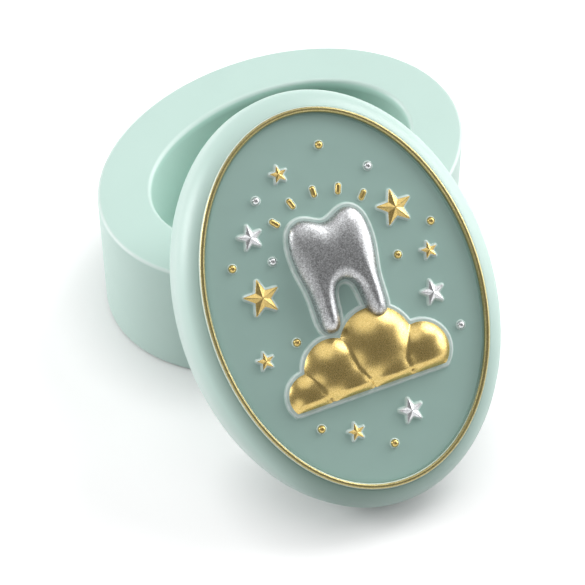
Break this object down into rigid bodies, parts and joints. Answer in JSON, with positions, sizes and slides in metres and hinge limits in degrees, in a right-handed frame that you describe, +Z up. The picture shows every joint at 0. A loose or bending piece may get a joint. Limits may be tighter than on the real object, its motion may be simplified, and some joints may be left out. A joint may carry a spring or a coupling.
{
  "type": "tooth box",
  "caption": "Oval keepsake box for milk teeth: a thick-walled base with an oval well, and a domed lid with gilt reliefs, taken off and leaning on the base.",
  "frame": {"origin": "middle of the base's flat underside, on the table", "axes": "+X along the base's long axis, +Z up; the lid leans on the base's -Y side"},
  "size_m": [0.0743, 0.0884, 0.052],
  "materials": {
    "mint_resin": "cast resin with matt mint paint",
    "sage_paint": "satin sage paint on resin",
    "pale_mint_paint": "matt pale mint paint on resin",
    "gold_paint": "satin metallic gold paint on resin",
    "silver_paint": "satin metallic silver paint on resin"
  },
  "bodies": {
    "base": {"base_bowl": "mint_resin"},
    "lid": {"lid_shell": "mint_resin", "lid_panel": "sage_paint", "gold_border": "gold_paint", "motif_pad": "pale_mint_paint", "cloud": "gold_paint", "tooth": "silver_paint", "star_pads": "pale_mint_paint", "large_gold_stars": "gold_paint", "small_gold_stars": "gold_paint", "silver_stars": "silver_paint", "gold_dots": "gold_paint", "silver_dots": "silver_paint", "gold_dashes": "gold_paint"}
  },
  "joints": [
    {"name": "lid_lift", "type": "slide", "parent": "base", "child": "lid", "axis": [0, 0, 1], "range_m": [0, 0.045]}
  ]
}
